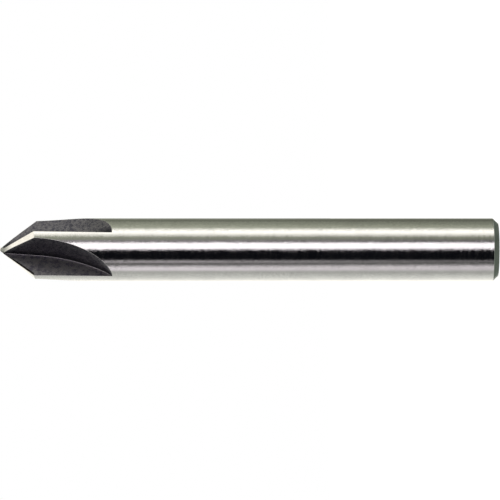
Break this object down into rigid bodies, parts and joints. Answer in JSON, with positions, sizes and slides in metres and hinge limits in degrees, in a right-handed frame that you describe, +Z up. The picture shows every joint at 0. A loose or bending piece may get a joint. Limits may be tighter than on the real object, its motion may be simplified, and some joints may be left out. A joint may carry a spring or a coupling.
{
  "type": "countersink bit",
  "caption": "Straight-shank countersink bit with a fluted 82 degree point, for cutting conical screw seats and deburring holes.",
  "frame": {"origin": "centre of the flat face at the end of the shank", "axes": "+Z up the tool's axis, from the end face to the point; -Y faces one whole flute and the land above it"},
  "size_m": [0.0064, 0.0064, 0.0502],
  "materials": {
    "ground_steel": "bright cylindrical grind on the shank and lands, darker oxidised grind in the flutes"
  },
  "bodies": {
    "root": {"countersink_bit": "ground_steel"}
  },
  "joints": []
}
